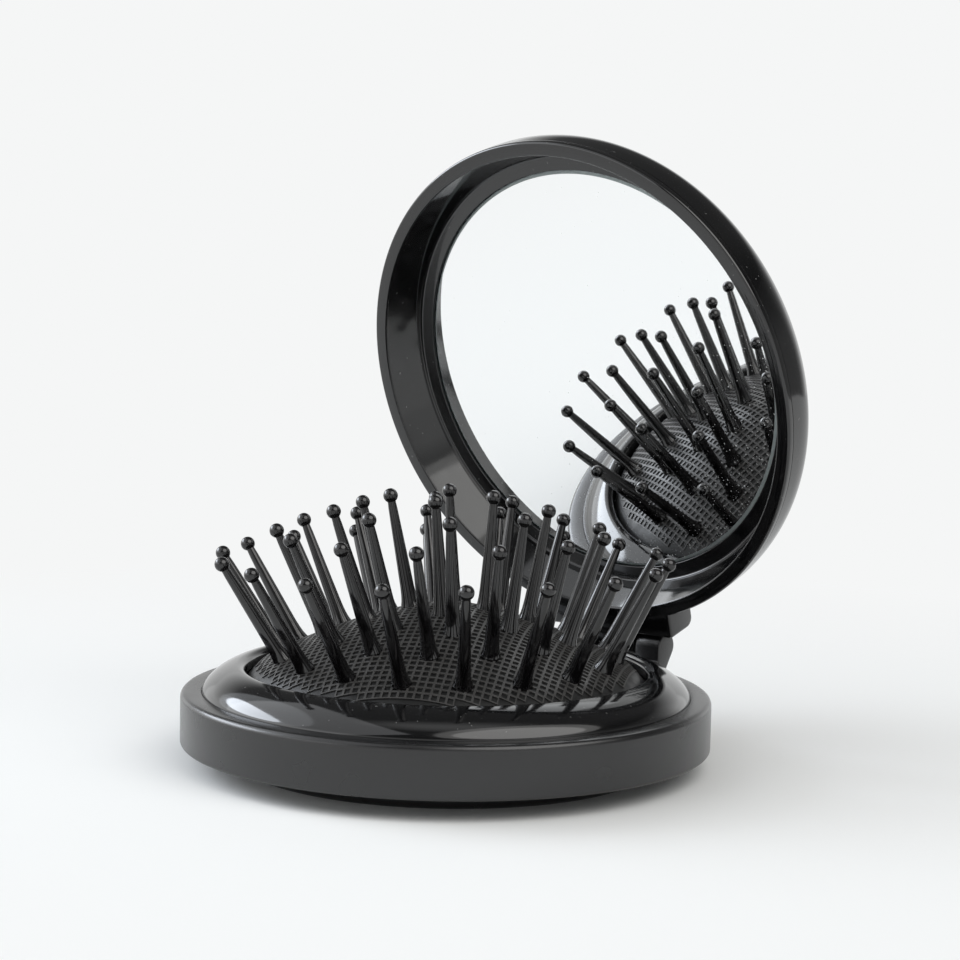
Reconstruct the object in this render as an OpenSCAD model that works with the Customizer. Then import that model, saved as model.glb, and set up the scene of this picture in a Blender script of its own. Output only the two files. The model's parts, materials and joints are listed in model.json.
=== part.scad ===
// Folding pop-up hairbrush with a mirror in the lid.
// Frame: +Z up, origin at the centre of the flat underside, hinge at +Y, hinge axis along X.
// Shown open: capsule up, pins out, lid leaning a little over the brush. Millimetres.

/* [Outer ring] */
// outside diameter of the ring and of the lid
ring_d = 65; // [58:0.5:74]
// wall of the ring, from its bore to its outside
ring_wall = 2.53; // [1.8:0.01:4]
// underside of the ring above the table
ring_z0 = 2.55; // [2.45:0.05:4]
// height of the plain band, up to where its rounded edge starts
band_h = 5.55; // [4.8:0.05:7]
// rounding of the band's upper edge
band_round = 0.75; // [0.3:0.05:1.5]
// side of the square cut that takes the sharp corner off the bore and the lower edge
edge_cut = 0.4; // [0.1:0.05:0.8]
// thickness of the inward lip that stops the capsule
ring_lip_t = 0.9; // [0.6:0.05:1.5]

/* [Capsule] */
// width of the head's ledge outside the stem
head_out = 5.4; // [4:0.1:7]
// thickness of the cup's head flange
head_t = 1.25; // [0.9:0.05:2]
// wall of the stem
stem_t = 1.1; // [0.8:0.1:1.6]
// width of the foot plate's edge outside the stem
foot_out = 1.5; // [0.8:0.1:3]
// height of the foot plate's edge
foot_h = 2.4; // [1.8:0.05:2.5]
// thickness of the foot plate's floor
foot_floor_t = 1.4; // [1:0.1:1.8]
// rounding of the foot plate's lower edge
foot_round = 1.0; // [0.3:0.1:1.3]
// wall of the foot plate's spigot
spigot_t = 1.1; // [0.8:0.1:2]
// height of the spigot inside the stem
spigot_h = 2.1; // [1:0.1:3]
// travel of the outer ring on the capsule
lift = 4.5; // [3:0.1:5]

/* [Dome ring] */
// height of the dome ring's straight foot
dome_foot_h = 0.6; // [0.2:0.05:1.5]
// height of the crest above the straight foot
dome_h = 3.35; // [2.8:0.05:5]
// width from the outside in to the crest
dome_w = 4.3; // [3.4:0.1:6]
// power of the dome's profile, 2 is an ellipse
dome_pow = 1.5; // [1.2:0.05:2.5]
// width of the lip, from the crest in to the opening
lip_w = 1.0; // [0.5:0.05:1.5]
// fall of the lip from the crest to the opening
lip_h = 0.85; // [0.4:0.05:1.2]
// wall of the dome ring at its skirt
skirt_t = 1.5; // [1:0.1:2]
// height of the groove that clamps the pad's rim
groove_h = 1.05; // [0.7:0.05:1.3]

/* [Rubber pad] */
// clearance between the pad's dome and the opening
pad_c = 0.1; // [0.05:0.05:0.3]
// height of the dome's edge above the lip
pad_up = 0.05; // [0:0.05:0.5]
// height of the dome
pad_h = 8.55; // [6:0.05:11]
// power of the dome's profile
pad_pow = 1.5; // [1.3:0.05:2.5]
// thickness of the rubber
pad_t = 1.0; // [0.7:0.05:1.2]
// width of the clamped rim outside the dome
pad_rim_w = 1.4; // [0.8:0.1:2]

/* [Pins] */
// number of pins in each ring, outer to inner
ring_count = [18, 13, 8, 4];
// distance of each ring of roots in from the pad's edge
root_in = [4.0, 9.5, 14.7, 19.9];
// lean of each ring outward, in degrees
pin_lean = [30.5, 21.5, 13.5, 7.0];
// turn of each ring's first pin, in degrees
ring_turn = [14.3, -3.5, -2.1, 30.0];
// length from the pad's surface to the ball's centre
pin_len = 14.0; // [11:0.1:15]
// diameter of the ball tip
ball_d = 1.8; // [1.2:0.05:2.2]
// shaft diameter at the tip
shaft_d1 = 1.1; // [0.8:0.05:1.6]
// shaft diameter at the root
shaft_d0 = 1.7; // [1.3:0.05:2.2]
// diameter of the flared foot
flare_d = 2.5; // [1.8:0.05:2.9]
// height of the flared foot
flare_h = 1.2; // [0.6:0.1:2]
// gap between the flared foot and the pad
flare_up = 0.3; // [0.2:0.05:0.6]
// diameter of the neck through the rubber
neck_d = 1.2; // [0.8:0.05:1.6]
// diameter of the head under the rubber
pin_head_d = 2.0; // [1.7:0.05:2.6]
// thickness of the head under the rubber
pin_head_t = 0.6; // [0.4:0.05:1]
// gap between the head and the rubber
pin_head_gap = 0.25; // [0.2:0.05:0.5]

/* [Hinge] */
// distance of the hinge axis outside the ring
hinge_out = 3.74; // [3.4:0.02:5]
// height of the hinge axis above the ring's top
hinge_up = 1.91; // [1:0.01:2.6]
// opening of the lid from closed, in degrees
open_deg = 73.7; // [60:0.1:110]
// hinge pin diameter
hinge_pin_d = 1.6; // [1:0.05:2.4]
// diameter of the lugs and of the knuckle
lug_d = 3.6; // [3:0.05:4.2]
// width of each lug
lug_w = 3.85; // [2.5:0.05:5]
// wall that closes the blind end of the pin's bore
lug_end_t = 0.8; // [0.5:0.1:1.5]
// how far the lug's foot reaches into the ring's wall, and out past it
lug_root = 1.5; // [1:0.1:2]
// height of the lug's foot above the ring's underside
lug_up = 1.0; // [0.5:0.1:2]
// softening of the lug's outer corner
lug_soft = 0.1; // [0.05:0.05:0.4]
// half width of the lid's knuckle
knuckle_x = 4.0; // [3:0.1:5]
// side play of the knuckle between the lugs
knuckle_c = 0.15; // [0.05:0.05:0.4]
// distance that the pin's ends lie inside the bore
pin_short = 0.1; // [0.05:0.05:0.5]

/* [Hinge block] */
// half width of the lid's hinge block
block_x = 10.3; // [8:0.1:12]
// distance of the block's back face outside the lid
block_out = 1.65; // [1.3:0.05:1.9]
// height of the hinge block
block_h = 5.3; // [4:0.1:6]
// side of the square cut that softens the block's upright corners
block_corner = 1.6; // [0.4:0.1:2]
// side of the square cut that softens the block's far edge
block_edge = 1.8; // [0.4:0.1:2]
// side of the square cut that softens the block's edges at the rim
block_side = 0.7; // [0.2:0.1:1]

/* [Lid] */
// gap between the closed lid's rim and the ring
rim_up = 0.15; // [0.1:0.05:0.5]
// depth of the plain side strip before the seam
strip_h = 1.1; // [0.6:0.05:2]
// height of the domed back beyond the strip
back_h = 9.8; // [9:0.1:13]
// power of the domed back's profile
back_pow = 3.58; // [3.2:0.02:5]
// wall of the lid's back shell
shell_t = 0.9; // [0.7:0.05:1.2]
// clearance between the liner and the shell it fits into
liner_c = 0.3; // [0.1:0.05:0.5]
// width of the rim
rim_w = 1.8; // [1.3:0.1:3]
// softening of the rim's inner edge
rim_soft = 0.15; // [0.05:0.05:0.4]
// softening of the rim's outer edge
rim_corner = 0.3; // [0.1:0.05:0.6]
// taper of the recess between the rim and the bezel
recess_taper = 1.4; // [0.8:0.1:2]
// depth of the bezel behind the rim
bezel_d = 6.0; // [5:0.1:6.5]

/* [Mirror] */
// width of the bezel round the mirror
bezel_w = 2.1; // [1.5:0.1:5]
// mirror thickness
mirror_t = 1.0; // [0.8:0.05:1.3]
// depth of the mirror's face behind the bezel
mirror_set = 0.15; // [0.05:0.05:0.5]
// width of the mirror's bevelled edge
bevel_w = 1.3; // [0.5:0.1:3]
// fall of the bevel across its width
bevel_h = 0.35; // [0.1:0.05:0.6]
// thickness of the adhesive pad
adhesive_t = 0.2; // [0.1:0.05:0.4]
// width of mirror left bare round the adhesive pad
adhesive_in = 4.2; // [1:0.1:10]
// thickness of the floor that carries the mirror
floor_t = 0.6; // [0.5:0.05:0.9]

/* [Clearances] */
// radial clearance of the capsule in the ring, a sliding fit
slide_c = 0.07; // [0.03:0.01:0.1]
// radial clearance of the hinge pin, a running fit
pin_c = 0.04; // [0.02:0.01:0.1]
// gap between pieces that only stand side by side
gap = 0.05; // [0.03:0.01:0.15]

/* [Hidden] */
$fn = 96;
ring_r = ring_d / 2;
bore_r = ring_r - ring_wall;
head_r = bore_r - slide_c;
stem_r = head_r - head_out;
foot_r = stem_r + foot_out;
spigot_r = stem_r - stem_t - gap;
crest_r = head_r - dome_w;
opening_r = crest_r - lip_w;
pad_r = opening_r - pad_c;
pad_rim_r = pad_r + pad_rim_w;
root_r = [for (d = root_in) pad_r - d];
ball_r = ball_d / 2;
shell_r = ring_r - shell_t;
rim_r = ring_r - rim_w;
bezel_r = rim_r - recess_taper;
mirror_r = bezel_r - bezel_w;

band_top_z = ring_z0 + band_h;
ledge_z = band_top_z + band_round;
head_z0 = ring_z0 + ring_lip_t + lift + gap;
head_z1 = head_z0 + head_t;
groove_z = head_z1 + groove_h;
dome_z0 = head_z0 + dome_foot_h;
dome_z1 = dome_z0 + dome_h;
opening_z = dome_z1 - lip_h;
pad_edge_z = opening_z + pad_up;
rim_z = ledge_z + rim_up;
seam_z = rim_z + strip_h;
bezel_z = rim_z + bezel_d;
mirror_z = bezel_z + mirror_set;
mirror_back_z = mirror_z + mirror_t;
floor_z = mirror_back_z + adhesive_t;
floor_back_z = floor_z + floor_t;

hinge_y = ring_r + hinge_out;
hinge_z = ledge_z + hinge_up;
hinge_pin_r = hinge_pin_d / 2;
lug_r = lug_d / 2;
lug_x0 = knuckle_x + knuckle_c;
lug_x1 = lug_x0 + lug_w;
block_y = ring_r + block_out;

dome_steps = 24;
lip_steps = 6;
pad_steps = 20;
back_steps = 30;
liner_steps = 10;
ring_letter = ["a", "b", "c", "d"];

function pad_z(r) = pad_edge_z + pad_h * (1 - pow(r / pad_r, pad_pow));
function pad_tilt(r) = atan(pad_h * pad_pow / pad_r * pow(r / pad_r, pad_pow - 1));
function two(n) = n < 10 ? str("0", n) : str(n);
function pin_name(k, i) = str("pin_", ring_letter[k], two(i + 1));
// a point on the lid's domed back, or on the same curve with a smaller radius and height
function back_point(r, h, t) =
    [r * pow(cos(t), 2 / back_pow), seam_z + h * pow(sin(t), 2 / back_pow)];

// from the closed lid's place to where it stands open
module open_lid() {
    translate([0, hinge_y, hinge_z]) rotate([-open_deg, 0, 0])
        translate([0, -hinge_y, -hinge_z]) children();
}

module along_x(x0, x1, r) {
    translate([x0, hinge_y, hinge_z]) rotate([0, 90, 0]) cylinder(r = r, h = x1 - x0);
}

// a side view in Y and Z, drawn from x0 to x1
module side_plate(x0, x1) {
    translate([x0, 0, 0]) rotate([90, 0, 90]) linear_extrude(x1 - x0) children();
}

// ---- outer ring: sliding band with the two hinge lugs ----
module ring_profile() {
    lip_r = stem_r + slide_c;
    difference() {
        union() {
            translate([bore_r, ring_z0]) square([ring_wall, band_h]);
            translate([bore_r, band_top_z]) square([ring_wall - band_round, band_round]);
            translate([ring_r - band_round, band_top_z]) circle(r = band_round);
            translate([lip_r, ring_z0]) square([bore_r + ring_wall / 2 - lip_r, ring_lip_t]);
        }
        // lead-in at the top of the bore, and the lower outer edge
        translate([bore_r, ledge_z]) rotate(45) square(edge_cut, center = true);
        translate([ring_r, ring_z0]) rotate(45) square(edge_cut, center = true);
    }
}

module lug_profile() {
    foot_z = ring_z0 + lug_up;
    polygon([
        [ring_r - lug_root, foot_z], [ring_r + lug_root, foot_z + 4 * lug_soft],
        [hinge_y + lug_r - lug_soft, hinge_z - lug_r + 2 * lug_soft],
        [hinge_y + lug_r, hinge_z], [hinge_y - lug_r, hinge_z],
        [hinge_y - lug_r, ledge_z], [ring_r - lug_root, ledge_z]]);
}

module lug(x0, x1) {
    difference() {
        union() {
            along_x(x0, x1, lug_r);
            side_plate(x0, x1) lug_profile();
        }
        // the pin passes right through one lug and stops inside the other
        along_x(-lug_x1 - lug_w, lug_x1 - lug_end_t, hinge_pin_r + pin_c);
    }
}

module outer_ring() {
    color([0.06, 0.06, 0.065]) {
        rotate_extrude() ring_profile();
        lug(lug_x0, lug_x1);
        lug(-lug_x1, -lug_x0);
    }
}

// ---- capsule: stays on the table ----
module capsule_cup() {
    inner = stem_r - stem_t;
    outer = head_r - skirt_t - gap;
    color([0.05, 0.05, 0.055]) rotate_extrude() polygon([
        [inner, foot_h], [stem_r, foot_h], [stem_r, head_z0],
        [outer, head_z0], [outer, head_z1], [inner, head_z1]]);
}

module foot_plate() {
    inner = spigot_r - spigot_t;
    spigot_top = foot_h + spigot_h;
    color([0.05, 0.05, 0.055]) rotate_extrude() difference() {
        union() {
            square([foot_r - foot_round, foot_floor_t]);
            translate([0, foot_round]) square([foot_r, foot_h - foot_round]);
            translate([foot_r - foot_round, foot_round]) circle(r = foot_round);
            translate([inner, foot_round]) square([spigot_t, spigot_top - foot_round]);
        }
        translate([-inner, foot_floor_t]) square([2 * inner, spigot_top]);
    }
}

module dome_ring() {
    inner = head_r - skirt_t;
    color([0.05, 0.05, 0.055]) rotate_extrude() polygon(concat(
        [for (i = [0 : dome_steps]) let (t = 90 * i / dome_steps)
            [crest_r + dome_w * pow(cos(t), 2 / dome_pow),
             dome_z0 + dome_h * pow(sin(t), 2 / dome_pow)]],
        [for (i = [1 : lip_steps]) let (t = 90 * i / lip_steps)
            [crest_r - lip_w * sin(t), opening_z + lip_h * cos(t)]],
        [[opening_r, groove_z], [pad_rim_r + pad_c, groove_z],
         [inner, head_z1 + pad_c], [inner, head_z0], [head_r, head_z0]]));
}

module rubber_pad() {
    color([0.09, 0.09, 0.09]) difference() {
        rotate_extrude() polygon(concat(
            [for (i = [0 : pad_steps]) let (r = pad_r * i / pad_steps) [r, pad_z(r)]],
            [[pad_r, groove_z], [pad_rim_r, groove_z], [pad_rim_r, head_z1],
             [pad_r - pad_t, head_z1]],
            [for (i = [pad_steps : -1 : 0]) let (r = pad_r * i / pad_steps, a = pad_tilt(r))
                [r - pad_t * sin(a), pad_z(r) - pad_t * cos(a)]]));
        for (k = [0 : 3]) for (i = [0 : ring_count[k] - 1])
            at_root(k, i) translate([0, 0, -2 * pad_t])
                cylinder(d = neck_d + 2 * gap, h = 4 * pad_t);
    }
}

// ---- pins: one moulded piece each ----
module at_root(k, i) {
    rotate([0, 0, ring_turn[k] + 360 * i / ring_count[k]])
        translate([root_r[k], 0, pad_z(root_r[k])]) rotate([0, pin_lean[k], 0]) children();
}

module pin(k, i) {
    shaft_z = flare_up + flare_h;
    head_z = -pad_t - pin_head_gap - pin_head_t;
    color([0.06, 0.06, 0.065]) at_root(k, i) {
        translate([0, 0, pin_len]) sphere(r = ball_r);
        translate([0, 0, shaft_z]) cylinder(d1 = shaft_d0, d2 = shaft_d1, h = pin_len - shaft_z);
        translate([0, 0, flare_up]) cylinder(d1 = flare_d, d2 = shaft_d0, h = flare_h);
        translate([0, 0, head_z]) cylinder(d = neck_d, h = shaft_z - head_z);
        translate([0, 0, head_z]) cylinder(d = pin_head_d, h = pin_head_t);
    }
}

// ---- hinge pin ----
module hinge_pin() {
    color([0.7, 0.7, 0.72])
        along_x(-lug_x1 + pin_short, lug_x1 - lug_end_t - 2 * pin_short, hinge_pin_r);
}

// ---- lid, drawn closed and then opened ----
module back_profile(r, h) {
    polygon(concat(
        [for (i = [0 : back_steps]) back_point(r, h, 90 * i / back_steps)],
        [[0, seam_z]]));
}

module lid_shell() {
    color([0.05, 0.05, 0.055]) open_lid() difference() {
        rotate_extrude() difference() {
            back_profile(ring_r, back_h);
            back_profile(shell_r, back_h - shell_t);
        }
        // notch that the hinge block fills
        translate([-block_x - gap, mirror_r, rim_z])
            cube([2 * block_x + 2 * gap, ring_r, block_h + gap]);
    }
}

module liner_profile() {
    liner_r = shell_r - liner_c;
    liner_h = back_h - shell_t - liner_c;
    last = asin(pow((floor_back_z - seam_z) / liner_h, back_pow / 2));
    polygon(concat(
        [[rim_r + rim_soft, rim_z], [ring_r - rim_corner, rim_z], [ring_r, rim_z + rim_corner],
         [ring_r, seam_z - gap], [shell_r - gap, seam_z - gap]],
        [for (i = [0 : liner_steps]) back_point(liner_r, liner_h, last * i / liner_steps)],
        [[0, floor_back_z], [0, floor_z], [mirror_r + gap, floor_z], [mirror_r + gap, bezel_z],
         [bezel_r, bezel_z], [rim_r, rim_z + rim_soft]]));
}

// the space in front of the mirror
module recess() {
    rotate_extrude() polygon([
        [0, rim_z - rim_w], [rim_r + rim_soft, rim_z - rim_w], [rim_r + rim_soft, rim_z],
        [rim_r, rim_z + rim_soft], [bezel_r, bezel_z], [bezel_r, rim_z + 2 * back_h],
        [0, rim_z + 2 * back_h]]);
}

module block_softening() {
    for (s = [-1, 1]) {
        translate([s * block_x, block_y, rim_z]) rotate([0, 0, 45])
            cube([block_corner, block_corner, 4 * block_h], center = true);
        translate([s * block_x, ring_r, rim_z]) rotate([0, 45, 0])
            cube([block_side, ring_r, block_side], center = true);
    }
    translate([0, block_y, rim_z + block_h]) rotate([45, 0, 0])
        cube([4 * block_x, block_edge, block_edge], center = true);
}

module lid_liner() {
    color([0.05, 0.05, 0.055]) open_lid() {
        rotate_extrude() liner_profile();
        difference() {
            union() {
                translate([-block_x, 0, rim_z]) cube([2 * block_x, block_y, block_h]);
                translate([-knuckle_x, ring_r, rim_z])
                    cube([2 * knuckle_x, hinge_out, hinge_z + lug_r - rim_z]);
                along_x(-knuckle_x, knuckle_x, lug_r);
            }
            recess();
            block_softening();
            along_x(-lug_x0, lug_x0, hinge_pin_r + pin_c);
        }
    }
}

module mirror_glass() {
    color([0.85, 0.88, 0.9]) open_lid() rotate_extrude() polygon([
        [0, mirror_z], [mirror_r - bevel_w, mirror_z], [mirror_r, mirror_z + bevel_h],
        [mirror_r, mirror_back_z], [0, mirror_back_z]]);
}

module mirror_adhesive() {
    color([0.8, 0.8, 0.78]) open_lid() translate([0, 0, mirror_back_z])
        cylinder(r = mirror_r - adhesive_in, h = adhesive_t);
}

outer_ring();
capsule_cup();
foot_plate();
dome_ring();
rubber_pad();
hinge_pin();
lid_liner();
lid_shell();
mirror_glass();
mirror_adhesive();
for (k = [0 : 3]) for (i = [0 : ring_count[k] - 1])
    pin(k, i);
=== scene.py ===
"""Folding pop-up hairbrush with a round mirror in its lid, standing open."""
import json
import math
import random

import bpy
from mathutils import Matrix, Vector


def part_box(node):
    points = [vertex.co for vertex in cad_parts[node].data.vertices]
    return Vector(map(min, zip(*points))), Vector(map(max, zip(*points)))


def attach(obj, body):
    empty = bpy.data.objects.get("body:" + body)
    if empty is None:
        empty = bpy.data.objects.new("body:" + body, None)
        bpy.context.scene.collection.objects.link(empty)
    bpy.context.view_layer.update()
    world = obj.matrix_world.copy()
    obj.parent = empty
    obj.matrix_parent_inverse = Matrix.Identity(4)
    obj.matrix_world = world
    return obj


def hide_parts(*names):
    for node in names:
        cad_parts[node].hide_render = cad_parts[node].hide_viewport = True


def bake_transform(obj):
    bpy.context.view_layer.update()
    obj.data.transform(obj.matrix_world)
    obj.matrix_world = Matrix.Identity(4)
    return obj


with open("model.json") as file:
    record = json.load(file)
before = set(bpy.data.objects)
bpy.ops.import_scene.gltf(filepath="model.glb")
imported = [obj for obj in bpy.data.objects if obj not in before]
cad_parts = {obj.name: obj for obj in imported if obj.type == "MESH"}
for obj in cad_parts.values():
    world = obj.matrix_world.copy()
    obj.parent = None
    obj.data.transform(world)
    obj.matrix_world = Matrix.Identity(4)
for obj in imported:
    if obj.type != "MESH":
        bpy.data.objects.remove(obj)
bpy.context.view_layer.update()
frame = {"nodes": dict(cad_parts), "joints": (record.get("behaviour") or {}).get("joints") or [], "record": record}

MM = 0.001
ROUND_STEPS = 144
GLOSS_STEPS = 192
MERGE_MM = 0.0008
SMOOTH_ANGLE = math.radians(32)
BACKGROUND = "#f5f6f6"


# ---------------------------------------------------------------- sizes, in mm
def node_size(node):
    """Lowest and highest corner of a CAD node, in mm."""
    low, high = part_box(node)
    return low / MM, high / MM


joints = {joint["name"]: joint for joint in frame["joints"]}
hinge = Vector(joints["lid_hinge"]["pos_m"]) / MM
open_angle = math.radians(joints["lid_hinge"]["range_deg"][0])

ring_low, ring_high = node_size("outer_ring")
ring_r = ring_high.x
ring_z0 = ring_low.z
ring_lip_r = 24.57
ring_lip_z = 3.45
bore_r = 29.97
ledge_z = 8.85

foot_r = node_size("foot_plate")[1].x
foot_h = 2.4
foot_floor_z = 1.4
spigot_r = 23.35
spigot_t = 1.1
spigot_z = node_size("foot_plate")[1].z

dome_low, dome_high = node_size("dome_ring")
head_r = dome_high.x
dome_z0 = ledge_z - 0.02
crest_r = 25.6
crest_z = dome_high.z
dome_pow = 1.5
foot_fit = 0.04  # the dome's foot is this much wider than its solid, towards the ring's bore
opening_r = 24.6
opening_z = 11.1
groove_z = 10.3
flange_z = 9.25
skirt_t = 1.5

pad_r = 24.5
pad_rim_r = node_size("rubber_pad")[1].x
pad_edge_z = 11.15
pad_turn_in = 2.9  # width of the pad's edge that turns down at the dome's lip
pad_fall = 0.85
pad_top_z = node_size("rubber_pad")[1].z
pad_pow = 1.5
pad_t = 1.0

net_r = 23.0
net_pitch = 0.95
net_strand = 0.28
net_raised = 0.18
net_turn = 27.0  # degrees round Z

pin_rings = ("a", "b", "c", "d")
root_r = (20.5, 15.0, 9.8, 4.6)
pin_lean = (30.5, 21.5, 13.5, 7.0)  # degrees outwards
ring_turn = (14.3, -3.5, -2.1, 30.0)  # degrees round Z of each ring's first pin
pin_len = 14.0
pin_set = (2.3, 4.0, 4.0, 4.0)  # degrees that each ring of pins is bent over by use
pin_set_to = 240.0  # degrees round Z, the side they are bent to
pin_stray = 0.8  # degrees that one pin may stray either way
neck_r = 0.5
ball_r = 0.9

rim_z = 9.0
seam_z = 10.1
back_h = 9.8
back_pow = 3.58
shell_t = 0.9
liner_c = 0.3  # clearance between the liner's back and the shell
rim_r = 30.7
bezel_r = 29.3
bezel_z = 15.0
mirror_r = 27.2
mirror_z = 15.15
mirror_back_z = 16.15
bevel_w = 0.42
bevel_h = 0.3
floor_z = 16.35
floor_back_z = 16.95
lid_gap = 0.05  # between the liner and the shell at the seam, and round the mirror

block_x = 10.3
block_y = 34.15
block_h = 5.3
lug_r = 1.8
lug_x0 = 4.15
lug_x1 = 8.0
knuckle_x = 4.0


# ---------------------------------------------------------------- modelling helpers
def start_piece(name, at):
    """A new mesh piece of one vertex at a place in mm, left in edit mode."""
    bpy.ops.object.select_all(action="DESELECT")
    bpy.ops.mesh.primitive_plane_add(size=MM, location=Vector(at) * MM)
    piece = bpy.context.object
    piece.name = name
    bpy.ops.object.transform_apply(location=True, rotation=True, scale=True)
    bpy.ops.object.mode_set(mode="EDIT")
    bpy.ops.mesh.select_mode(type="VERT")
    bpy.ops.mesh.merge(type="CENTER")
    return piece


def draw_to(step):
    """Extrudes the selected vertices, edges or faces by a step in mm."""
    bpy.ops.mesh.extrude_region_move(TRANSFORM_OT_translate={"value": Vector(step) * MM})


def close_mesh():
    """Merges doubles, points every face outward and leaves edit mode."""
    bpy.ops.mesh.select_all(action="SELECT")
    bpy.ops.mesh.remove_doubles(threshold=MERGE_MM * MM)
    bpy.ops.mesh.normals_make_consistent(inside=False)
    bpy.ops.object.mode_set(mode="OBJECT")


def smooth(piece):
    """Shades a piece smooth, with a crease along its sharp edges."""
    only(piece)
    bpy.ops.object.shade_smooth_by_angle(angle=SMOOTH_ANGLE)


def only(piece):
    """Makes a piece the only selected and active object."""
    bpy.ops.object.select_all(action="DESELECT")
    piece.select_set(True)
    bpy.context.view_layer.objects.active = piece


def turned(name, outline, steps=ROUND_STEPS):
    """A piece of revolution about Z from its half section, a list of (radius, height)."""
    piece = start_piece(name, (outline[0][0], 0, outline[0][1]))
    for start, end in zip(outline, outline[1:]):
        draw_to((end[0] - start[0], 0, end[1] - start[1]))
    bpy.ops.mesh.select_all(action="SELECT")
    bpy.ops.mesh.spin(steps=steps, angle=2 * math.pi, center=(0, 0, 0), axis=(0, 0, 1))
    close_mesh()
    smooth(piece)
    return piece


def extruded(name, outline, x0, x1, edge=0.0):
    """A closed side view of (y, z) points, drawn from x0 to x1, with its end edges rounded."""
    piece = start_piece(name, (x0, *outline[0]))
    closed = [*outline, outline[0]]
    for start, end in zip(closed, closed[1:]):
        draw_to((0, end[0] - start[0], end[1] - start[1]))
    bpy.ops.mesh.select_all(action="SELECT")
    bpy.ops.mesh.remove_doubles(threshold=MERGE_MM * MM)
    bpy.ops.mesh.edge_face_add()
    draw_to((x1 - x0, 0, 0))
    close_mesh()
    if edge:
        only(piece)
        bevel = piece.modifiers.new("edges", "BEVEL")
        bevel.width = edge * MM
        bevel.segments = 3
        bevel.limit_method = "ANGLE"
        bevel.angle_limit = math.radians(50)
        bpy.ops.object.modifier_apply(modifier=bevel.name)
    smooth(piece)
    return piece


def rounded(corners, steps=6):
    """An outline from corners (x, z, fillet): each corner with a fillet becomes an arc."""
    outline = []
    for i, (x, z, fillet) in enumerate(corners):
        corner = Vector((x, z))
        if not fillet:
            outline.append((x, z))
            continue
        before = (Vector(corners[i - 1][:2]) - corner).normalized()
        after = (Vector(corners[(i + 1) % len(corners)][:2]) - corner).normalized()
        half = before.angle(after) / 2
        centre = corner + (before + after).normalized() * fillet / math.sin(half)
        start = corner + before * fillet / math.tan(half) - centre
        end = corner + after * fillet / math.tan(half) - centre
        sweep = start.angle(end)
        for k in range(steps + 1):
            share = k / steps
            arm = start * math.sin((1 - share) * sweep) + end * math.sin(share * sweep)
            outline.append(tuple(centre + arm / math.sin(sweep)))
    return outline


def power_curve(r0, z0, width, height, power, steps, last=90.0):
    """Curve from (r0 + width, z0) up and in to (r0, z0 + height); power 2 is a quarter ellipse."""
    points = []
    for i in range(steps + 1):
        t = math.radians(last * i / steps)
        across = max(math.cos(t), 0.0) ** (2 / power)
        up = math.sin(t) ** (2 / power)
        points.append((r0 + width * across, z0 + height * up))
    return points


def cut_away(piece, cutter):
    """Takes the cutter's volume out of the piece and deletes the cutter."""
    only(piece)
    boolean = piece.modifiers.new("cut", "BOOLEAN")
    boolean.operation = "DIFFERENCE"
    boolean.solver = "EXACT"
    boolean.object = cutter
    bpy.ops.object.modifier_apply(modifier=boolean.name)
    bpy.data.objects.remove(cutter)


def apply_matrix(piece, matrix):
    """Moves the piece's mesh by a matrix in mm, and leaves its object at the origin."""
    move = matrix.copy()
    move.translation = matrix.translation * MM
    piece.matrix_world = move
    only(piece)
    bpy.ops.object.transform_apply(location=True, rotation=True, scale=True)


def open_lid(piece):
    """From the closed lid's place to where it stands open."""
    turn = Matrix.Rotation(open_angle, 4, "X")
    apply_matrix(piece, Matrix.Translation(hinge) @ turn @ Matrix.Translation(-hinge))


def dress(piece, material, slot, body, *nodes):
    """Gives a piece its material and a body to ride on, and hides the nodes it stands for; slot is not used."""
    piece.data.materials.clear()
    piece.data.materials.append(material)
    if body:
        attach(piece, body)
    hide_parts(*nodes)


# ---------------------------------------------------------------- material helpers
def srgb(code):
    """'#rrggbb' as a linear colour with alpha."""
    channels = [int(code[i:i + 2], 16) / 255 for i in (1, 3, 5)]
    return [c / 12.92 if c <= 0.04045 else ((c + 0.055) / 1.055) ** 2.4 for c in channels] + [1.0]


def add_node(tree, kind, inputs=None, **settings):
    """Adds a node; inputs maps a socket to a value or to another node's output."""
    node = tree.nodes.new(kind)
    for key, value in settings.items():
        setattr(node, key, value)
    for key, value in (inputs or {}).items():
        if isinstance(value, bpy.types.NodeSocket):
            tree.links.new(value, node.inputs[key])
        else:
            node.inputs[key].default_value = value
    return node


def new_material(name, **shader):
    """A material with one Principled shader: itself, its tree, the shader, the place on the piece."""
    material = bpy.data.materials.new(name)
    material.use_nodes = True
    tree = material.node_tree
    bsdf = tree.nodes["Principled BSDF"]
    for key, value in shader.items():
        bsdf.inputs[key.replace("_", " ")].default_value = value
    place = add_node(tree, "ShaderNodeTexCoord").outputs["Object"]
    return material, tree, bsdf, place


def patchy_gloss(tree, bsdf, place, patch_mm, detail, smoothest, dullest):
    """Roughness that drifts between two values over patches about patch_mm across."""
    patches = add_node(tree, "ShaderNodeTexNoise", {
        "Vector": place, "Scale": 1 / (patch_mm * MM), "Detail": detail}).outputs["Fac"]
    roughness = add_node(tree, "ShaderNodeMapRange", {
        "Value": patches, "From Min": 0.3, "From Max": 0.7, "To Min": smoothest, "To Max": dullest})
    tree.links.new(roughness.outputs["Result"], bsdf.inputs["Roughness"])


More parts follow.
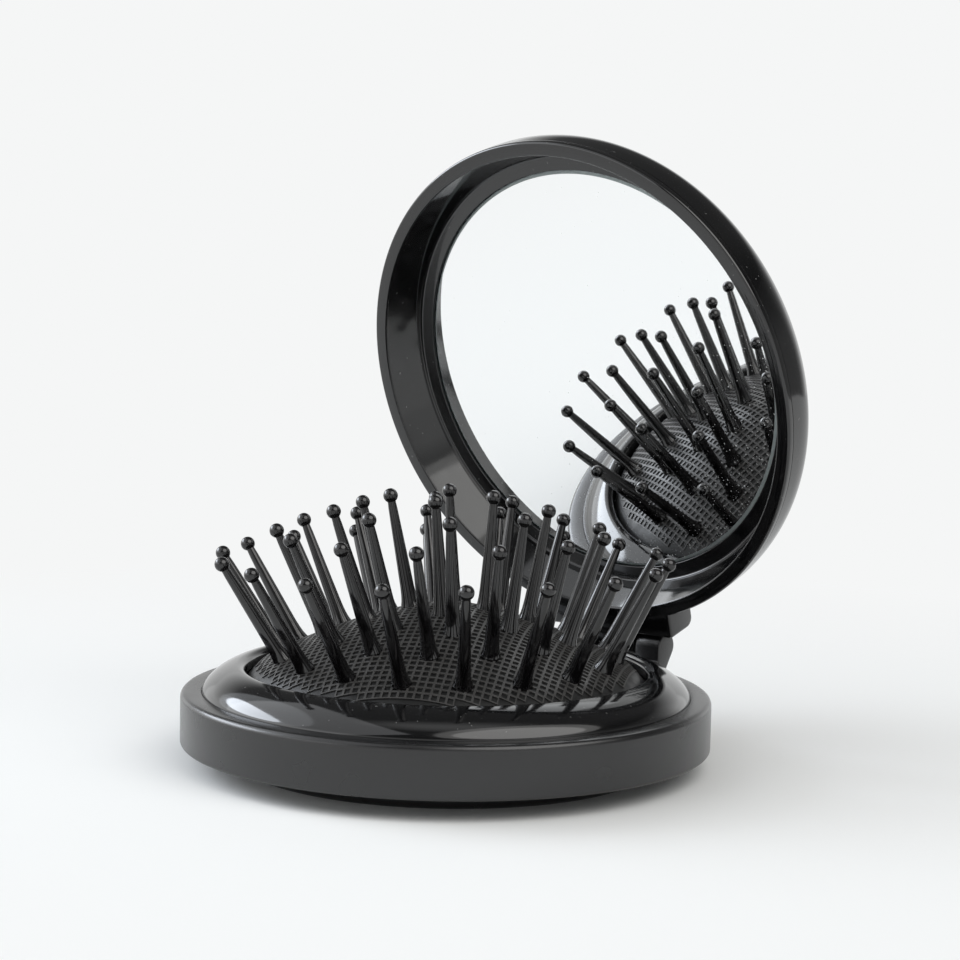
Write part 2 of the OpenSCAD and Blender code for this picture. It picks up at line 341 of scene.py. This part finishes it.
def moulded_relief(tree, bsdf, place, grain_mm, detail, strength, depth_mm):
    """Bump of soft swells or grains about grain_mm across."""
    grain = add_node(tree, "ShaderNodeTexNoise", {
        "Vector": place, "Scale": 1 / (grain_mm * MM), "Detail": detail}).outputs["Fac"]
    bump = add_node(tree, "ShaderNodeBump", {
        "Height": grain, "Strength": strength, "Distance": depth_mm * MM})
    tree.links.new(bump.outputs["Normal"], bsdf.inputs["Normal"])


# ---------------------------------------------------------------- finishes
def polished_abs():
    """ABS moulded in a polished tool: deep black, a clear reflection that wavers, dust drawn coarse."""
    material, tree, bsdf, place = new_material("polished_abs", IOR=1.66)
    patchy_gloss(tree, bsdf, place, patch_mm=2.5, detail=4.0, smoothest=0.07, dullest=0.11)
    moulded_relief(tree, bsdf, place, grain_mm=9.0, detail=1.0, strength=0.06, depth_mm=0.4)
    speck_mm = 0.35
    dust = add_node(tree, "ShaderNodeTexNoise", {
        "Vector": place, "Scale": 1 / (speck_mm * MM), "Detail": 0.0}).outputs["Fac"]
    specks = add_node(tree, "ShaderNodeMapRange", {
        "Value": dust, "From Min": 0.83, "From Max": 0.86, "To Min": 0.0, "To Max": 1.0})
    # sockets 6 and 7 are the two colours mixed, and output 2 is the result
    colour = add_node(tree, "ShaderNodeMix", {
        "Factor": specks.outputs["Result"], 6: srgb("#0b0b0c"), 7: srgb("#5c5c5b")}, data_type="RGBA")
    tree.links.new(colour.outputs[2], bsdf.inputs["Base Color"])
    return material


def satin_abs():
    """ABS moulded in a fine-blasted tool: an even grey-black, its grain drawn coarse enough to show."""
    material, tree, bsdf, place = new_material("satin_abs", IOR=1.62, Base_Color=srgb("#151516"))
    patchy_gloss(tree, bsdf, place, patch_mm=6.0, detail=3.0, smoothest=0.25, dullest=0.28)
    moulded_relief(tree, bsdf, place, grain_mm=0.12, detail=2.0, strength=0.1, depth_mm=0.02)
    return material


def pin_nylon():
    """Moulded black nylon: smooth, a soft shine along each shaft."""
    material, tree, bsdf, place = new_material("pin_nylon", IOR=1.62, Base_Color=srgb("#0d0c0d"))
    patchy_gloss(tree, bsdf, place, patch_mm=1.2, detail=3.0, smoothest=0.05, dullest=0.1)
    return material


def pad_rubber(name, colour):
    """Black rubber: dull, with patches of bloom; the raised net gets a paler copy of it, a painted sheen for the
    light its strands catch.
    """
    material, tree, bsdf, place = new_material(name, IOR=1.5, Base_Color=srgb(colour))
    patchy_gloss(tree, bsdf, place, patch_mm=1.6, detail=4.0, smoothest=0.34, dullest=0.5)
    return material


def silvered_glass():
    """Mirror glass: a clean reflection, with dust drawn coarse on it, more of it low on one side."""
    material, tree, bsdf, place = new_material(
        "silvered_glass", Metallic=1.0, Base_Color=srgb("#fbfcfc"))
    speck_mm = 0.22
    dust = add_node(tree, "ShaderNodeTexNoise", {
        "Vector": place, "Scale": 1 / (speck_mm * MM), "Detail": 0.0}).outputs["Fac"]
    low_side = add_node(tree, "ShaderNodeVectorMath", {
        0: place, 1: (0.7, 0.0, -0.7)}, operation="DOT_PRODUCT").outputs["Value"]
    amount = add_node(tree, "ShaderNodeMapRange", {
        "Value": low_side, "From Min": -28 * MM, "From Max": 0.0, "To Min": -0.03, "To Max": 0.13})
    dustier = add_node(tree, "ShaderNodeMath", {
        0: dust, 1: amount.outputs["Result"]}, operation="ADD").outputs[0]
    specks = add_node(tree, "ShaderNodeMapRange", {
        "Value": dustier, "From Min": 0.82, "From Max": 0.86, "To Min": 0.0, "To Max": 1.0})
    roughness = add_node(tree, "ShaderNodeMapRange", {
        "Value": specks.outputs["Result"], "To Min": 0.015, "To Max": 0.5})
    tree.links.new(roughness.outputs["Result"], bsdf.inputs["Roughness"])
    return material


def bevel_glass_painted_bright():
    """Edge of the glass: a little green, with a soft shine; its pale tone is a painted reflection of the bright
    line along the bevel.
    """
    material, tree, bsdf, place = new_material("bevel_glass_painted_bright", IOR=1.52, Base_Color=srgb("#b9c2c2"))
    patchy_gloss(tree, bsdf, place, patch_mm=0.15, detail=2.0, smoothest=0.2, dullest=0.4)
    return material


def drawn_steel():
    """Drawn steel wire: bright grey metal with fine lines along it."""
    material, tree, bsdf, place = new_material(
        "drawn_steel", Metallic=1.0, Base_Color=srgb("#c9c9cb"))
    stretched = add_node(tree, "ShaderNodeMapping", {
        "Vector": place, "Scale": (0.05, 1.0, 1.0)}).outputs["Vector"]
    patchy_gloss(tree, bsdf, stretched, patch_mm=0.15, detail=2.0, smoothest=0.25, dullest=0.4)
    return material


def foam_tape():
    """White double-sided foam tape: matt, with a bumpy face of small cells."""
    material, tree, bsdf, place = new_material(
        "foam_tape", Roughness=0.85, Base_Color=srgb("#d9d8d2"))
    moulded_relief(tree, bsdf, place, grain_mm=0.5, detail=3.0, strength=0.4, depth_mm=0.1)
    return material


def backdrop_paper():
    """Matt white paper, which far from the brush is seen as the plain background."""
    material, tree, bsdf, place = new_material(
        "backdrop_paper", Roughness=0.9, Specular_IOR_Level=0.0, Base_Color=srgb("#f2f3f2"))
    distance = add_node(tree, "ShaderNodeVectorMath", {0: place}, operation="LENGTH")
    far = add_node(tree, "ShaderNodeMapRange", {
        "Value": distance.outputs["Value"],
        "From Min": 30 * MM, "From Max": 170 * MM, "To Min": 0.0, "To Max": 1.0})
    path = add_node(tree, "ShaderNodeLightPath").outputs
    mirrored = add_node(tree, "ShaderNodeMath", {
        0: path["Is Glossy Ray"], 1: path["Is Transmission Ray"]}, operation="MAXIMUM")
    seen = add_node(tree, "ShaderNodeMath", {
        0: path["Is Camera Ray"], 1: mirrored.outputs[0]}, operation="MAXIMUM")
    share = add_node(tree, "ShaderNodeMath", {
        0: far.outputs["Result"], 1: seen.outputs[0]}, operation="MULTIPLY")
    plain = add_node(tree, "ShaderNodeEmission", {"Color": srgb(BACKGROUND), "Strength": 1.0})
    mixed = add_node(tree, "ShaderNodeMixShader", {
        "Fac": share.outputs[0], 1: bsdf.outputs[0], 2: plain.outputs[0]})
    tree.links.new(mixed.outputs[0], tree.nodes["Material Output"].inputs["Surface"])
    return material


# ---------------------------------------------------------------- camera, light, floor
def from_side(around, above=0.0):
    """Unit vector to a side of the brush: 0 is its front, -Y, and a quarter turn is +X."""
    level = math.cos(above)
    return Vector((math.sin(around) * level, -math.cos(around) * level, math.sin(above)))


def make_camera():
    """Camera in front of the brush, on its +X side, a little above it."""
    look_at = Vector((2.84, 2.24, 34.90)) * MM
    distance = 303.77 * MM
    around = math.radians(38.286)
    above = math.radians(6.026)
    roll = math.radians(1.158)
    towards = -from_side(around, above)
    data = bpy.data.cameras.new("camera")
    data.lens = 93.47
    data.sensor_width = 36.0
    data.clip_start = 10 * MM
    camera = bpy.data.objects.new("camera", data)
    bpy.context.scene.collection.objects.link(camera)
    turn = towards.to_track_quat("-Z", "Y") @ Matrix.Rotation(roll, 3, "Z").to_quaternion()
    camera.rotation_euler = turn.to_euler()
    camera.location = look_at - towards * distance
    bpy.context.scene.camera = camera
    return around


def area_light(name, shape, wide, high, level, tint, around, above, distance):
    """A lamp aimed at the brush from a side in degrees; level is the tone of its face, 1 is white."""
    data = bpy.data.lights.new(name, "AREA")
    data.color = srgb(tint)[:3]
    data.shape = shape
    data.size = wide
    data.size_y = high
    share = math.pi / 4 if shape == "ELLIPSE" else 1.0
    data.energy = level * math.pi * wide * high * share
    lamp = bpy.data.objects.new(name, data)
    bpy.context.scene.collection.objects.link(lamp)
    away = from_side(math.radians(around), math.radians(above))
    middle = Vector((0, 0, 30)) * MM
    lamp.location = away * distance + middle
    lamp.rotation_euler = away.to_track_quat("Z", "Y").to_euler()
    lamp.visible_camera = False
    return lamp


def make_world(camera_around):
    """Room light: walls pale low down, one dark corner, a soft ceiling in front, a plain background."""
    low_wall, high_wall = 1.35, 0.13  # 1 is white
    camera_wall = 0.6  # share of it left behind the camera
    dark_corner = 0.2  # share of it left in one corner
    ceiling = 0.6
    world = bpy.data.worlds.new("studio")
    bpy.context.scene.world = world
    world.use_nodes = True
    tree = world.node_tree
    tree.nodes.clear()
    direction = add_node(tree, "ShaderNodeTexCoord").outputs["Generated"]
    height = add_node(tree, "ShaderNodeSeparateXYZ", {"Vector": direction}).outputs["Z"]
    facing = add_node(tree, "ShaderNodeVectorMath", {
        0: direction, 1: from_side(camera_around)}, operation="DOT_PRODUCT").outputs["Value"]
    cornering = add_node(tree, "ShaderNodeVectorMath", {
        0: direction, 1: from_side(math.radians(135))}, operation="DOT_PRODUCT").outputs["Value"]
    by_height = add_node(tree, "ShaderNodeMapRange", {
        "Value": height, "From Min": 0.2, "From Max": 0.48, "To Min": low_wall, "To Max": high_wall})
    by_facing = add_node(tree, "ShaderNodeMapRange", {
        "Value": facing, "From Min": 0.2, "From Max": 0.9, "To Min": 1.0, "To Max": camera_wall})
    by_corner = add_node(tree, "ShaderNodeMapRange", {
        "Value": cornering, "From Min": 0.7, "From Max": 0.92, "To Min": 1.0, "To Max": dark_corner})
    overhead = add_node(tree, "ShaderNodeMapRange", {
        "Value": height, "From Min": 0.9, "From Max": 0.98, "To Min": 0.0, "To Max": ceiling})
    in_front = add_node(tree, "ShaderNodeMapRange", {
        "Value": facing, "From Min": -0.1, "From Max": 0.1, "To Min": 0.0, "To Max": 1.0})
    even_walls = add_node(tree, "ShaderNodeMath", {
        0: by_height.outputs[0], 1: by_facing.outputs[0]}, operation="MULTIPLY")
    walls = add_node(tree, "ShaderNodeMath", {
        0: even_walls.outputs[0], 1: by_corner.outputs[0]}, operation="MULTIPLY")
    soft_ceiling = add_node(tree, "ShaderNodeMath", {
        0: overhead.outputs[0], 1: in_front.outputs[0]}, operation="MULTIPLY")
    level = add_node(tree, "ShaderNodeMath", {
        0: walls.outputs[0], 1: soft_ceiling.outputs[0]}, operation="ADD")
    room = add_node(tree, "ShaderNodeBackground", {
        "Color": srgb("#f6f7f7"), "Strength": level.outputs[0]})
    plain = add_node(tree, "ShaderNodeBackground", {"Color": srgb(BACKGROUND), "Strength": 1.0})
    seen = add_node(tree, "ShaderNodeLightPath").outputs["Is Camera Ray"]
    mixed = add_node(tree, "ShaderNodeMixShader", {
        "Fac": seen, 1: room.outputs[0], 2: plain.outputs[0]})
    add_node(tree, "ShaderNodeOutputWorld", {"Surface": mixed.outputs[0]})


def make_floor(camera_around):
    """Paper that runs under the brush and sweeps up far behind it."""
    front = -1800.0
    behind = 1600.0
    half_width = 800.0
    top = 420.0
    bend_r = 300.0
    outline = rounded([(front, 0, 0), (behind, 0, bend_r), (behind, top, 0)], steps=24)
    paper = start_piece("paper_sweep", (-half_width, *outline[0]))
    for start, end in zip(outline, outline[1:]):
        draw_to((0, end[0] - start[0], end[1] - start[1]))
    bpy.ops.mesh.select_all(action="SELECT")
    draw_to((2 * half_width, 0, 0))
    bpy.ops.object.mode_set(mode="OBJECT")
    apply_matrix(paper, Matrix.Rotation(camera_around, 4, "Z"))
    smooth(paper)
    paper.data.materials.append(backdrop_paper())


# ---------------------------------------------------------------- outer ring
def hinge_eye(first, sweep, steps):
    """Round eye about the hinge axis as (y, z) points, from a first angle over a sweep in degrees."""
    points = []
    for i in range(steps + 1):
        t = math.radians(first + sweep * i / steps)
        points.append((hinge.y + lug_r * math.cos(t), hinge.z + lug_r * math.sin(t)))
    return points


def lug_outline():
    """Side view of one hinge lug: a foot on the ring that rises to a round eye."""
    root_y = ring_r - 1.2
    foot = [(root_y, ring_z0 + 1.0), (ring_r + 1.4, ring_z0 + 1.4)]
    back = [(hinge.y - lug_r, ledge_z), (root_y, ledge_z)]
    return [*foot, *hinge_eye(first=-25, sweep=205, steps=18), *back]


def make_outer_ring(satin):
    """The flat band with the lip that it slides on, and its two hinge lugs."""
    band = turned("ring_band", rounded([
        (ring_lip_r, ring_z0, 0.1), (ring_r, ring_z0, 0.3), (ring_r, ledge_z, 0.7),
        (bore_r, ledge_z, 0.06), (bore_r, ring_lip_z, 0), (ring_lip_r, ring_lip_z, 0.1),
    ]) + [(ring_lip_r + 0.1, ring_z0)])
    dress(band, satin, "satin_black", "ring", "outer_ring")
    for side, x0, x1 in (("right", lug_x0, lug_x1), ("left", -lug_x1, -lug_x0)):
        lug = extruded("hinge_lug_" + side, lug_outline(), x0, x1, edge=0.25)
        dress(lug, satin, "satin_black", "ring", "outer_ring")


# ---------------------------------------------------------------- capsule
def make_foot_plate(satin):
    """The plate under the capsule, with the spigot that closes it."""
    plate = turned("foot", rounded([
        (0, 0, 0), (foot_r, 0, 1.0), (foot_r, foot_h, 0.2), (spigot_r, foot_h, 0),
        (spigot_r, spigot_z, 0.15), (spigot_r - spigot_t, spigot_z, 0.15),
        (spigot_r - spigot_t, foot_floor_z, 0), (0, foot_floor_z, 0),
    ]))
    dress(plate, satin, "satin_black", "capsule", "foot_plate")


def make_dome_ring(gloss):
    """The domed cover that clamps the pad: outside, rolled lip, groove for the pad, skirt."""
    head_z0 = dome_low.z
    rise = power_curve(crest_r, dome_z0, head_r + foot_fit - crest_r, crest_z - dome_z0, dome_pow, 60)
    lip = []
    for i in range(1, 11):
        t = math.radians(9 * i)
        lip.append((crest_r - (crest_r - opening_r) * math.sin(t),
                    opening_z + (crest_z - opening_z) * math.cos(t)))
    inside = [(opening_r, groove_z), (pad_rim_r + 0.1, groove_z), (head_r - skirt_t, flange_z + 0.1),
              (head_r - skirt_t, head_z0), (head_r + foot_fit, head_z0)]
    dome = turned("dome_cover", [*rise, *lip, *inside, rise[0]], steps=GLOSS_STEPS)
    dress(dome, gloss, "gloss_black", "capsule", "dome_ring")


def pad_z(r):
    """Height of the pad's face at a radius; it turns down under the dome ring's lip at its edge."""
    fall = max(r - pad_r + pad_turn_in, 0.0) / pad_turn_in
    return pad_edge_z + (pad_top_z - pad_edge_z) * (1 - (r / pad_r) ** pad_pow) - pad_fall * fall ** 2


def make_pad(rubber, net_painted_lighter):
    """The pad in rings, each stretched between the pins outside it and the pins inside it."""
    edges = (pad_r, *root_r, 0.0)
    bodies = ("capsule", "pins_a", "pins_b", "pins_c", "pins_d")
    for i, (outer, inner) in enumerate(zip(edges, edges[1:])):
        steps = 8
        face = [outer + (inner - outer) * k / steps for k in range(steps + 1)]
        top = [(r, pad_z(r)) for r in face]
        below = [(r, pad_z(r) - pad_t) for r in reversed(face)]
        piece = turned(f"pad_skin_{i + 1}", [*top, *below, top[0]], steps=96)
        hang_pad_piece(piece, rubber, bodies, i)
    make_net(net_painted_lighter, edges, bodies)


def hang_pad_piece(piece, material, bodies, i):
    """The innermost stretch rides on its pins; the others ride on no body and stay where they are built."""
    if i == len(bodies) - 1:
        dress(piece, material, "pad_rubber", bodies[i], "rubber_pad")
        return
    dress(piece, material, "pad_rubber", None, "rubber_pad")
    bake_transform(piece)


def make_net(rubber, edges, bodies):
    """Raised square net on the pad: a grid with each cell opened, laid on the dome and thickened."""
    cells = 2 * math.ceil(net_r / net_pitch)
    bpy.ops.object.select_all(action="DESELECT")
    bpy.ops.mesh.primitive_grid_add(
        x_subdivisions=cells, y_subdivisions=cells, size=cells * net_pitch * MM,
        rotation=(0, 0, math.radians(net_turn)))
    net = bpy.context.object
    bpy.ops.object.transform_apply(location=True, rotation=True, scale=True)
    keep_faces(net, lambda r: r < net_r)
    bpy.ops.object.mode_set(mode="EDIT")
    bpy.ops.mesh.select_all(action="SELECT")
    bpy.ops.mesh.inset(thickness=net_strand / 2 * MM, use_individual=True)
    bpy.ops.mesh.delete(type="FACE")
    bpy.ops.object.mode_set(mode="OBJECT")
    for vertex in net.data.vertices:
        radius = min(vertex.co.xy.length / MM, pad_r)
        vertex.co.z = (pad_z(radius) + net_raised) * MM
    only(net)
    wall = net.modifiers.new("strand", "SOLIDIFY")
    wall.thickness = 2 * net_raised * MM
    wall.offset = -1
    bpy.ops.object.modifier_apply(modifier=wall.name)
    smooth(net)
    for i, (outer, inner) in enumerate(zip(edges, edges[1:])):
        part = net.copy()
        part.data = net.data.copy()
        bpy.context.scene.collection.objects.link(part)
        part.name = f"pad_net_{i + 1}"
        keep_faces(part, lambda r: inner <= r < outer)
        hang_pad_piece(part, rubber, bodies, i)
    bpy.data.objects.remove(net)


def keep_faces(piece, test):
    """Deletes the faces whose centre's distance from the Z axis, in mm, fails the test."""
    only(piece)
    bpy.ops.object.mode_set(mode="EDIT")
    bpy.ops.mesh.select_mode(type="FACE")
    bpy.ops.mesh.select_all(action="DESELECT")
    bpy.ops.object.mode_set(mode="OBJECT")
    for face in piece.data.polygons:
        face.select = not test(face.center.xy.length / MM)
    bpy.ops.object.mode_set(mode="EDIT")
    bpy.ops.mesh.delete(type="FACE")
    bpy.ops.object.mode_set(mode="OBJECT")


# ---------------------------------------------------------------- pins
def make_first_pin():
    """One pin along Z: flared foot, tapering shaft and ball tip."""
    flare = [(0, -0.5), (1.25, -0.5), (1.25, 0.1), (1.16, 0.35), (1.02, 0.9), (0.92, 1.6), (0.85, 2.6)]
    neck_z = pin_len - math.sqrt(ball_r ** 2 - neck_r ** 2)
    shaft = [(0.55, neck_z - 0.9), (neck_r, neck_z - 0.15)]
    start = math.asin(neck_r / ball_r)
    ball = []
    steps = 12
    for i in range(steps + 1):
        t = start + (math.pi - start) * i / steps
        ball.append((ball_r * math.sin(t) if i < steps else 0.0, pin_len - ball_r * math.cos(t)))
    return turned("pin", [*flare, *shaft, *ball], steps=28)


def make_pins(nylon):
    """Every pin, copied from the first, leaning outwards and a little over to one side."""
    master = make_first_pin()
    master.data.materials.append(nylon)
    random.seed(7)
    side = math.radians(pin_set_to)
    across = Vector((-math.sin(side), math.cos(side), 0))
    for ring, radius, lean, first, bent in zip(pin_rings, root_r, pin_lean, ring_turn, pin_set):
        names = frame["record"]["behaviour"]["bodies"]["pins_" + ring]
        settled = Matrix.Rotation(math.radians(bent), 4, across)
        for i, node in enumerate(sorted(names)):
            turn = math.radians(first + 360 * i / len(names))
            wobble = Matrix.Rotation(math.radians(random.uniform(-pin_stray, pin_stray)), 4, "X") @ \
                Matrix.Rotation(math.radians(random.uniform(-pin_stray, pin_stray)), 4, "Y")
            root = Vector((radius * math.cos(turn), radius * math.sin(turn), pad_z(radius)))
            place = Matrix.Translation(root) @ settled @ Matrix.Rotation(turn, 4, "Z") @ \
                Matrix.Rotation(math.radians(lean), 4, "Y") @ wobble
            # a pin bent upright is shortened, so that its tip stays as low as its ring's
            shorter = min(math.cos(math.radians(lean)) / place.col[2].z, 1.0)
            place = place @ Matrix.Scale(shorter, 4, Vector((0, 0, 1)))
            pin = master.copy()
            pin.data = master.data.copy()
            bpy.context.scene.collection.objects.link(pin)
            pin.name = "bristle_" + node[-3:]
            apply_matrix(pin, place)
            dress(pin, nylon, "pin_black", "pins_" + ring, node)
    bpy.data.objects.remove(master)


# ---------------------------------------------------------------- lid
def make_lid_shell(gloss):
    """The lid's domed back, with a notch for the hinge block."""
    outside = power_curve(0, seam_z, ring_r, back_h, back_pow, 48)
    inside = power_curve(0, seam_z, ring_r - shell_t, back_h - shell_t, back_pow, 24)
    soft = [(ring_r - 0.12, seam_z), (ring_r - 0.03, seam_z + 0.03)]
    outline = [*soft, *outside[1:], *reversed(inside), soft[0]]
    shell = turned("lid_back", outline, steps=GLOSS_STEPS)
    low, top, clear = rim_z - 1, rim_z + block_h, ring_r + 5
    notch = extruded("notch", [
        (mirror_r, low), (clear, low), (clear, top), (mirror_r, top)], -block_x, block_x)
    cut_away(shell, notch)
    smooth(shell)
    open_lid(shell)
    dress(shell, gloss, "gloss_black", "lid", "lid_shell")


def liner_back():
    """The liner's outer side, which follows the inside of the shell up to the floor."""
    radius = ring_r - shell_t - liner_c
    height = back_h - shell_t - liner_c
    last = math.degrees(math.asin(((floor_back_z - seam_z) / height) ** (back_pow / 2)))
    return power_curve(0, seam_z, radius, height, back_pow, 12, last)


def make_lid_liner(gloss):
    """The lid's inner moulding: rim, recess wall, bezel round the mirror, floor behind it."""
    rim = [(rim_r, rim_z, 0.3), (ring_r, rim_z, 0.35), (ring_r, seam_z - lid_gap, 0.12),
           (ring_r - shell_t - lid_gap, seam_z - lid_gap, 0)]
    back = [(x, z, 0) for x, z in liner_back()]
    recess = [(0, floor_back_z, 0), (0, floor_z, 0), (mirror_r + lid_gap, floor_z, 0),
              (mirror_r + lid_gap, bezel_z, 0.12), (bezel_r, bezel_z, 0.5)]
    outline = rounded([*rim, *back, *recess])
    liner = turned("lid_inside", [*outline, outline[0]], steps=GLOSS_STEPS)
    open_lid(liner)
    dress(liner, gloss, "gloss_black", "lid", "lid_liner")


def make_hinge_block(gloss):
    """Block at the foot of the lid, with the knuckle that turns between the lugs."""
    top = rim_z + block_h
    inner = mirror_r - 2
    side = rounded([(inner, rim_z, 0), (block_y, rim_z, 0.4), (block_y, top, 1.3), (inner, top, 0)])
    block = extruded("hinge_block", side, -block_x, block_x, edge=0.5)
    cut_low, cut_top, sunk = rim_z - 5, rim_z + 12, 0.2
    cutter = turned("recess_cutter", [
        (0, cut_low), (rim_r + sunk, cut_low), (rim_r + sunk, rim_z),
        (bezel_r + sunk, bezel_z), (bezel_r + sunk, cut_top), (0, cut_top)])
    cut_away(block, cutter)
    smooth(block)
    open_lid(block)
    dress(block, gloss, "gloss_black", "lid", "lid_liner")
    web_y = block_y - 0.6
    outline = [*hinge_eye(first=-90, sweep=180, steps=16), (web_y, hinge.z + lug_r), (web_y, rim_z)]
    knuckle = extruded("hinge_knuckle", outline, -knuckle_x, knuckle_x, edge=0.2)
    open_lid(knuckle)
    dress(knuckle, gloss, "gloss_black", "lid", "lid_liner")


def make_mirror(glass, bevel_painted_bright):
    """Silvered disc, and round it the bevel of its edge, made pale as a painted reflection."""
    inner = mirror_r - bevel_w
    disc = turned("mirror", [
        (0, mirror_z), (inner, mirror_z), (inner, mirror_back_z), (0, mirror_back_z),
    ], steps=GLOSS_STEPS)
    blunt = 0.06
    edge = turned("mirror_bevel", [
        (inner, mirror_z), (mirror_r - blunt, mirror_z + bevel_h),
        (mirror_r, mirror_z + bevel_h + blunt), (mirror_r, mirror_back_z),
        (inner, mirror_back_z), (inner, mirror_z),
    ], steps=GLOSS_STEPS)
    for piece, material in ((disc, glass), (edge, bevel_painted_bright)):
        open_lid(piece)
        dress(piece, material, "mirror", "lid", "mirror_glass")


def paint_node(node, material):
    """Gives a CAD node that stays in view its finish."""
    for slot in frame["nodes"][node].material_slots:
        slot.material = material


# ---------------------------------------------------------------- the scene
bpy.context.scene.view_settings.view_transform = "Standard"
view_around = make_camera()
make_world(view_around)
area_light("window", "ELLIPSE", wide=0.76, high=0.31, level=6.6, tint="#eef5ff",
           around=-73.0, above=26.0, distance=0.9)
area_light("window_haze", "ELLIPSE", wide=1.15, high=0.8, level=0.7, tint="#f4f9ff",
           around=-70.0, above=30.0, distance=0.93)
area_light("window_glow", "RECTANGLE", wide=1.62, high=1.15, level=0.9, tint="#fafcff",
           around=-45.0, above=38.0, distance=0.96)
area_light("softbox", "ELLIPSE", wide=1.0, high=0.8, level=1.45, tint="#fffefc",
           around=82.0, above=46.0, distance=0.98)
area_light("softbox_edge", "ELLIPSE", wide=1.35, high=1.0, level=1.05, tint="#fffefc",
           around=82.0, above=47.0, distance=1.0)
make_floor(view_around)

gloss = polished_abs()
satin = satin_abs()
nylon = pin_nylon()
make_outer_ring(satin)
make_foot_plate(satin)
make_dome_ring(gloss)
# the net's paler rubber colour is a painted sheen on its raised strands
make_pad(pad_rubber("pad_rubber", "#0e0e0e"), pad_rubber("pad_net_painted_lighter", "#3d3c3b"))
make_pins(nylon)
make_lid_shell(gloss)
make_lid_liner(gloss)
make_hinge_block(gloss)
make_mirror(silvered_glass(), bevel_glass_painted_bright())
paint_node("capsule_cup", gloss)
paint_node("hinge_pin", drawn_steel())
paint_node("mirror_adhesive", foam_tape())
